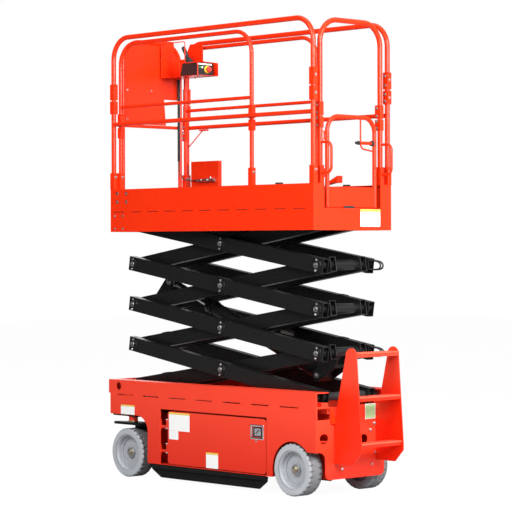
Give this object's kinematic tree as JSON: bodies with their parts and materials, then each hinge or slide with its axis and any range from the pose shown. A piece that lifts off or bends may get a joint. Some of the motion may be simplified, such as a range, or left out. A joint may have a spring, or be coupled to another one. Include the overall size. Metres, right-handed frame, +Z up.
{
  "type": "self-propelled scissor lift",
  "caption": "Compact electric scissor lift: steered chassis with ladder, crossed-arm stack raised by one cylinder, railed platform with sliding extension deck.",
  "frame": {"origin": "on the floor, under the middle of the machine's overall length and width", "axes": "+X towards the steered wheels, +Y to the machine's left, +Z up"},
  "size_m": [2.588, 0.81, 3.465],
  "materials": {
    "red_paint": "semi-gloss orange-red paint",
    "black_paint": "satin black paint",
    "grey_tyre": "light grey non-marking solid rubber",
    "grey_paint": "light grey paint",
    "bright_steel": "zinc plated steel",
    "chrome": "hard chrome",
    "black_plastic": "moulded black plastic",
    "battery_case": "battery cases"
  },
  "bodies": {
    "chassis": {"side_walls": "red_paint", "end_plates": "red_paint", "wheel_bay": "red_paint", "arm_tunnel": "red_paint", "inner_walls": "red_paint", "slide_channels": "red_paint", "ladder": "red_paint", "battery_pack": "battery_case", "power_pack": "black_plastic", "rear_axle": "black_paint", "steering_plates": "black_paint", "base_pivots": "black_paint"},
    "guard_left": {"pothole_guard_left": "black_paint"},
    "guard_right": {"pothole_guard_right": "black_paint"},
    "door_left": {"door_left": "red_paint"},
    "door_right": {"door_right": "red_paint"},
    "knuckle_left": {"knuckle_left": "black_paint"},
    "knuckle_right": {"knuckle_right": "black_paint"},
    "tie_rod": {"tie_rod": "black_paint"},
    "wheel_front_left": {"tyre_front_left": "grey_tyre", "rim_front_left": "grey_paint"},
    "wheel_front_right": {"tyre_front_right": "grey_tyre", "rim_front_right": "grey_paint"},
    "wheel_rear_left": {"tyre_rear_left": "grey_tyre", "rim_rear_left": "grey_paint"},
    "wheel_rear_right": {"tyre_rear_right": "grey_tyre", "rim_rear_right": "grey_paint"},
    "inner_1": {"inner_arms_1": "black_paint", "cylinder_pin": "bright_steel"},
    "inner_2": {"inner_arms_2": "black_paint"},
    "inner_3": {"inner_arms_3": "black_paint"},
    "inner_4": {"inner_arms_4": "black_paint", "upper_rollers": "black_plastic"},
    "outer_1": {"outer_arms_1": "black_paint", "pins_1": "bright_steel", "lower_rollers": "black_plastic"},
    "outer_2": {"outer_arms_2": "black_paint", "pins_2": "bright_steel"},
    "outer_3": {"outer_arms_3": "black_paint", "pins_3": "bright_steel"},
    "outer_4": {"outer_arms_4": "black_paint", "pins_4": "bright_steel"},
    "barrel": {"cylinder_barrel": "black_paint"},
    "rod": {"cylinder_rod": "chrome"},
    "platform": {"platform_deck": "black_paint", "side_skirts": "red_paint", "end_skirts": "red_paint", "main_rail_left": "red_paint", "main_rail_right": "red_paint", "rear_hoop": "red_paint"},
    "extension": {"extension_deck": "black_paint", "extension_rail_left": "red_paint", "extension_rail_right": "red_paint", "front_hoop": "red_paint", "control_cradle": "red_paint", "control_box": "black_plastic", "control_conduit": "black_plastic", "document_box": "red_paint"},
    "gate": {"gate": "red_paint"}
  },
  "joints": [
    {"name": "lift", "type": "hinge", "parent": "chassis", "child": "inner_1", "pos_m": [1.149, 0, 0.714], "axis": [0, 1, 0], "range_deg": [-5.5, 48.5]},
    {"name": "stage_1_cross", "type": "hinge", "parent": "inner_1", "child": "outer_1", "pos_m": [0.12473, 0, 0.87275], "axis": [0, 1, 0], "range_deg": [-97.5, 11.5]},
    {"name": "stage_1_to_2", "type": "hinge", "parent": "outer_1", "child": "inner_2", "pos_m": [1.149, 0, 1.0315], "axis": [0, 1, 0], "range_deg": [-11.5, 97.5]},
    {"name": "stage_2_cross", "type": "hinge", "parent": "inner_2", "child": "outer_2", "pos_m": [0.12473, 0, 1.19025], "axis": [0, 1, 0], "range_deg": [-97.5, 11.5]},
    {"name": "stage_2_to_3", "type": "hinge", "parent": "outer_2", "child": "inner_3", "pos_m": [1.149, 0, 1.349], "axis": [0, 1, 0], "range_deg": [-11.5, 97.5]},
    {"name": "stage_3_cross", "type": "hinge", "parent": "inner_3", "child": "outer_3", "pos_m": [0.12473, 0, 1.50775], "axis": [0, 1, 0], "range_deg": [-97.5, 11.5]},
    {"name": "stage_3_to_4", "type": "hinge", "parent": "outer_3", "child": "inner_4", "pos_m": [1.149, 0, 1.6665], "axis": [0, 1, 0], "range_deg": [-11.5, 97.5]},
    {"name": "stage_4_cross", "type": "hinge", "parent": "inner_4", "child": "outer_4", "pos_m": [0.12473, 0, 1.82525], "axis": [0, 1, 0], "range_deg": [-97.5, 11.5]},
    {"name": "platform_level", "type": "hinge", "parent": "outer_4", "child": "platform", "pos_m": [1.149, 0, 1.984], "axis": [0, 1, 0], "range_deg": [-6, 49]},
    {"name": "barrel_swing", "type": "hinge", "parent": "inner_1", "child": "barrel", "pos_m": [-0.69712, 0, 0.85542], "axis": [0, 1, 0], "range_deg": [-91.19, 10.79]},
    {"name": "rod_slide", "type": "slide", "parent": "barrel", "child": "rod", "axis": [0.929, 0, 0.37], "range_m": [-0.08755, 0.73298]},
    {"name": "steer_left", "type": "hinge", "parent": "chassis", "child": "knuckle_left", "pos_m": [1.069, 0.3415, 0.45], "axis": [0, 0, 1], "range_deg": [-70, 70]},
    {"name": "steer_right", "type": "hinge", "parent": "chassis", "child": "knuckle_right", "pos_m": [1.069, -0.3415, 0.45], "axis": [0, 0, 1], "range_deg": [-71, 71]},
    {"name": "tie_rod_swing", "type": "hinge", "parent": "knuckle_left", "child": "tie_rod", "pos_m": [1.029, 0.3415, 0.523], "axis": [0, 0, 1], "range_deg": [-71, 71]},
    {"name": "spin_front_left", "type": "hinge", "parent": "knuckle_left", "child": "wheel_front_left", "pos_m": [1.069, 0.3415, 0.1905], "axis": [0, 1, 0], "continuous": true},
    {"name": "spin_front_right", "type": "hinge", "parent": "knuckle_right", "child": "wheel_front_right", "pos_m": [1.069, -0.3415, 0.1905], "axis": [0, 1, 0], "continuous": true},
    {"name": "spin_rear_left", "type": "hinge", "parent": "chassis", "child": "wheel_rear_left", "pos_m": [-0.778, 0.3415, 0.1905], "axis": [0, 1, 0], "continuous": true},
    {"name": "spin_rear_right", "type": "hinge", "parent": "chassis", "child": "wheel_rear_right", "pos_m": [-0.778, -0.3415, 0.1905], "axis": [0, 1, 0], "continuous": true},
    {"name": "extension_slide", "type": "slide", "parent": "platform", "child": "extension", "axis": [1, 0, 0], "range_m": [0, 0.9]},
    {"name": "gate_swing", "type": "hinge", "parent": "platform", "child": "gate", "pos_m": [-0.983, 0.272, 2.4], "axis": [0, 0, 1], "range_deg": [0, 85]},
    {"name": "door_left_swing", "type": "hinge", "parent": "chassis", "child": "door_left", "pos_m": [0.603, 0.393, 0.34], "axis": [0, 0, -1], "range_deg": [0, 100]},
    {"name": "door_right_swing", "type": "hinge", "parent": "chassis", "child": "door_right", "pos_m": [0.603, -0.393, 0.34], "axis": [0, 0, 1], "range_deg": [0, 100]},
    {"name": "guard_left_fold", "type": "hinge", "parent": "chassis", "child": "guard_left", "pos_m": [0.133, 0.372, 0.11], "axis": [1, 0, 0], "range_deg": [-82, 0]},
    {"name": "guard_right_fold", "type": "hinge", "parent": "chassis", "child": "guard_right", "pos_m": [0.133, -0.372, 0.11], "axis": [-1, 0, 0], "range_deg": [-82, 0]}
  ],
  "couplings": [
    {"joint": "stage_1_cross", "follows": "lift", "ratio": -2},
    {"joint": "stage_1_to_2", "follows": "lift", "ratio": 2},
    {"joint": "stage_2_cross", "follows": "lift", "ratio": -2},
    {"joint": "stage_2_to_3", "follows": "lift", "ratio": 2},
    {"joint": "stage_3_cross", "follows": "lift", "ratio": -2},
    {"joint": "stage_3_to_4", "follows": "lift", "ratio": 2},
    {"joint": "stage_4_cross", "follows": "lift", "ratio": -2},
    {"joint": "platform_level", "follows": "lift", "ratio": 1},
    {"joint": "barrel_swing", "follows": "lift", "ratio": -1.87},
    {"joint": "rod_slide", "follows": "lift", "m_per_rad": 0.86},
    {"joint": "steer_right", "follows": "steer_left", "ratio": 1},
    {"joint": "tie_rod_swing", "follows": "steer_left", "ratio": -1}
  ]
}
